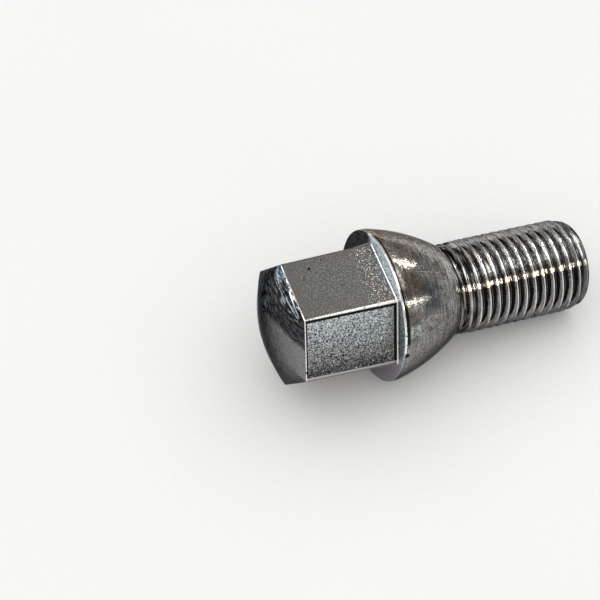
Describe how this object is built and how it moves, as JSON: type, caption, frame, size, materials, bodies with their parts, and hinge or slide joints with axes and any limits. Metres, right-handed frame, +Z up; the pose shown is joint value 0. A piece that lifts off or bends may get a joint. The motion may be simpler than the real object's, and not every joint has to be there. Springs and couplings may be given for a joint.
{
  "type": "wheel bolt",
  "caption": "Plated steel wheel bolt with a domed hexagon head, a collar with a rounded seat and a fine-pitch metric thread.",
  "frame": {"origin": "on the ground under the middle of the bolt's bounding box, as the bolt lies at rest on its collar and thread end", "axes": "+X along the bolt from head to thread end, seen from above; +Z up; the bolt's own axis dips about 8 degrees below +X towards the thread end"},
  "size_m": [0.05, 0.0226, 0.0224],
  "materials": {
    "plated_steel": "bright plated, worn to satin with fine pits"
  },
  "bodies": {
    "root": {"wheel_bolt": "plated_steel"}
  },
  "joints": []
}
